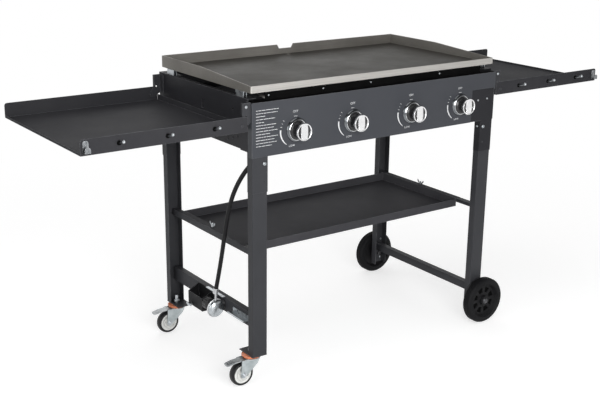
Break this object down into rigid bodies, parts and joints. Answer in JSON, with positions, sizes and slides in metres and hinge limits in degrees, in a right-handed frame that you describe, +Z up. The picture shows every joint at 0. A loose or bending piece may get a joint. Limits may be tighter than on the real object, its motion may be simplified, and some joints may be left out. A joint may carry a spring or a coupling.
{
  "type": "outdoor gas griddle station",
  "caption": "Rolling gas griddle on a folded-steel stand with a lift-off cook plate, fold-down side shelves, lower tray, tube burners, control knobs, casters, wheels and a hose with regulator.",
  "frame": {"origin": "on the ground, below the middle of the object's box", "axes": "+X to the right along the front, +Y from the front to the back, +Z up"},
  "size_m": [1.91, 0.612, 0.904],
  "materials": {
    "black_coat": "satin black powder coat",
    "shelf_coat": "satin black powder coat",
    "plate_steel": "seasoned carbon steel, dull",
    "zinc": "zinc plated",
    "chrome": "polished",
    "knob_plastic": "gloss black",
    "black_plastic": "matte black",
    "hose_rubber": "matte",
    "brass": "bare",
    "aluminium": "die cast",
    "tyre": "matte",
    "hub_white": "satin",
    "burner_steel": "bare stainless"
  },
  "bodies": {
    "frame": {"control_panel": "black_coat", "firebox_left_side": "black_coat", "firebox_right_side": "black_coat", "firebox_back": "black_coat", "burner_rails": "black_coat", "leg_sleeves": "black_coat", "leg_front_left": "black_coat", "leg_front_right": "black_coat", "leg_back_left": "black_coat", "leg_back_right": "black_coat", "upper_side_bars": "black_coat", "lower_side_bars": "black_coat", "bottom_tray": "black_coat", "shelf_hinge_brackets": "black_coat", "tank_bracket": "black_coat", "grease_chute": "black_coat", "frame_fasteners": "zinc", "wing_nuts": "zinc", "tank_support_plates": "zinc", "wheel_axles": "zinc", "caster_mounts": "zinc", "gas_manifold": "zinc", "burner_tubes": "burner_steel", "gas_valves": "brass", "gas_inlet_elbow": "brass", "knob_bezels": "chrome", "gas_hose": "hose_rubber", "gas_regulator": "aluminium"},
    "stem_1": {"valve_stem_1": "zinc"},
    "stem_2": {"valve_stem_2": "zinc"},
    "stem_3": {"valve_stem_3": "zinc"},
    "stem_4": {"valve_stem_4": "zinc"},
    "knob_1": {"knob_1": "knob_plastic", "knob_cap_1": "chrome"},
    "knob_2": {"knob_2": "knob_plastic", "knob_cap_2": "chrome"},
    "knob_3": {"knob_3": "knob_plastic", "knob_cap_3": "chrome"},
    "knob_4": {"knob_4": "knob_plastic", "knob_cap_4": "chrome"},
    "caster_front": {"caster_fork_front": "zinc"},
    "caster_back": {"caster_fork_back": "zinc"},
    "caster_wheel_front": {"caster_hub_front": "hub_white", "caster_tyre_front": "tyre"},
    "caster_wheel_back": {"caster_hub_back": "hub_white", "caster_tyre_back": "tyre"},
    "pedal_front": {"brake_pedal_front": "black_plastic"},
    "pedal_back": {"brake_pedal_back": "black_plastic"},
    "wheel_front": {"wheel_front": "black_plastic"},
    "wheel_back": {"wheel_back": "black_plastic"},
    "shelf_left": {"side_shelf_left": "shelf_coat", "shelf_hooks_left": "zinc", "bottle_opener_left": "zinc"},
    "shelf_right": {"side_shelf_right": "shelf_coat", "shelf_hooks_right": "zinc", "bottle_opener_right": "zinc"},
    "cook_plate": {"griddle_plate": "plate_steel", "griddle_feet": "zinc"},
    "cup": {"grease_cup": "burner_steel"},
    "hand_nut": {"regulator_hand_nut": "black_plastic"}
  },
  "joints": [
    {"name": "knob_1_push", "type": "slide", "parent": "frame", "child": "stem_1", "axis": [0, 1, 0], "range_m": [0, 0.003], "stiffness_N_per_m": 500},
    {"name": "knob_1_turn", "type": "hinge", "parent": "stem_1", "child": "knob_1", "pos_m": [-0.313, -0.283, 0.755], "axis": [0, -1, 0], "range_deg": [0, 150]},
    {"name": "knob_2_push", "type": "slide", "parent": "frame", "child": "stem_2", "axis": [0, 1, 0], "range_m": [0, 0.003], "stiffness_N_per_m": 500},
    {"name": "knob_2_turn", "type": "hinge", "parent": "stem_2", "child": "knob_2", "pos_m": [-0.1115, -0.283, 0.755], "axis": [0, -1, 0], "range_deg": [0, 150]},
    {"name": "knob_3_push", "type": "slide", "parent": "frame", "child": "stem_3", "axis": [0, 1, 0], "range_m": [0, 0.003], "stiffness_N_per_m": 500},
    {"name": "knob_3_turn", "type": "hinge", "parent": "stem_3", "child": "knob_3", "pos_m": [0.1115, -0.283, 0.755], "axis": [0, -1, 0], "range_deg": [0, 150]},
    {"name": "knob_4_push", "type": "slide", "parent": "frame", "child": "stem_4", "axis": [0, 1, 0], "range_m": [0, 0.003], "stiffness_N_per_m": 500},
    {"name": "knob_4_turn", "type": "hinge", "parent": "stem_4", "child": "knob_4", "pos_m": [0.313, -0.283, 0.755], "axis": [0, -1, 0], "range_deg": [0, 150]},
    {"name": "caster_front_swivel", "type": "hinge", "parent": "frame", "child": "caster_front", "pos_m": [-0.442, -0.225, 0.08], "axis": [0, 0, 1], "continuous": true},
    {"name": "caster_front_roll", "type": "hinge", "parent": "caster_front", "child": "caster_wheel_front", "pos_m": [-0.477, -0.225, 0.037], "axis": [0, 1, 0], "continuous": true},
    {"name": "brake_front_press", "type": "hinge", "parent": "caster_front", "child": "pedal_front", "pos_m": [-0.475, -0.225, 0.08], "axis": [0, -1, 0], "range_deg": [0, 12]},
    {"name": "caster_back_swivel", "type": "hinge", "parent": "frame", "child": "caster_back", "pos_m": [-0.442, 0.225, 0.08], "axis": [0, 0, 1], "continuous": true},
    {"name": "caster_back_roll", "type": "hinge", "parent": "caster_back", "child": "caster_wheel_back", "pos_m": [-0.477, 0.225, 0.037], "axis": [0, 1, 0], "continuous": true},
    {"name": "brake_back_press", "type": "hinge", "parent": "caster_back", "child": "pedal_back", "pos_m": [-0.475, 0.225, 0.08], "axis": [0, -1, 0], "range_deg": [0, 12]},
    {"name": "wheel_front_roll", "type": "hinge", "parent": "frame", "child": "wheel_front", "pos_m": [0.443, -0.286, 0.077], "axis": [0, 1, 0], "continuous": true},
    {"name": "wheel_back_roll", "type": "hinge", "parent": "frame", "child": "wheel_back", "pos_m": [0.443, 0.286, 0.077], "axis": [0, 1, 0], "continuous": true},
    {"name": "shelf_left_fold", "type": "hinge", "parent": "frame", "child": "shelf_left", "pos_m": [-0.49, 0, 0.786], "axis": [0, -1, 0], "range_deg": [0, 90]},
    {"name": "shelf_right_fold", "type": "hinge", "parent": "frame", "child": "shelf_right", "pos_m": [0.49, 0, 0.786], "axis": [0, 1, 0], "range_deg": [0, 90]},
    {"name": "cook_plate_lift", "type": "slide", "parent": "frame", "child": "cook_plate", "axis": [0, 0, 1], "range_m": [0, 0.04]},
    {"name": "grease_cup_draw", "type": "slide", "parent": "frame", "child": "cup", "axis": [0, 1, 0], "range_m": [0, 0.035]},
    {"name": "hand_nut_turn", "type": "hinge", "parent": "frame", "child": "hand_nut", "pos_m": [-0.463, -0.021, 0.182], "axis": [0, 1, 0], "continuous": true}
  ]
}
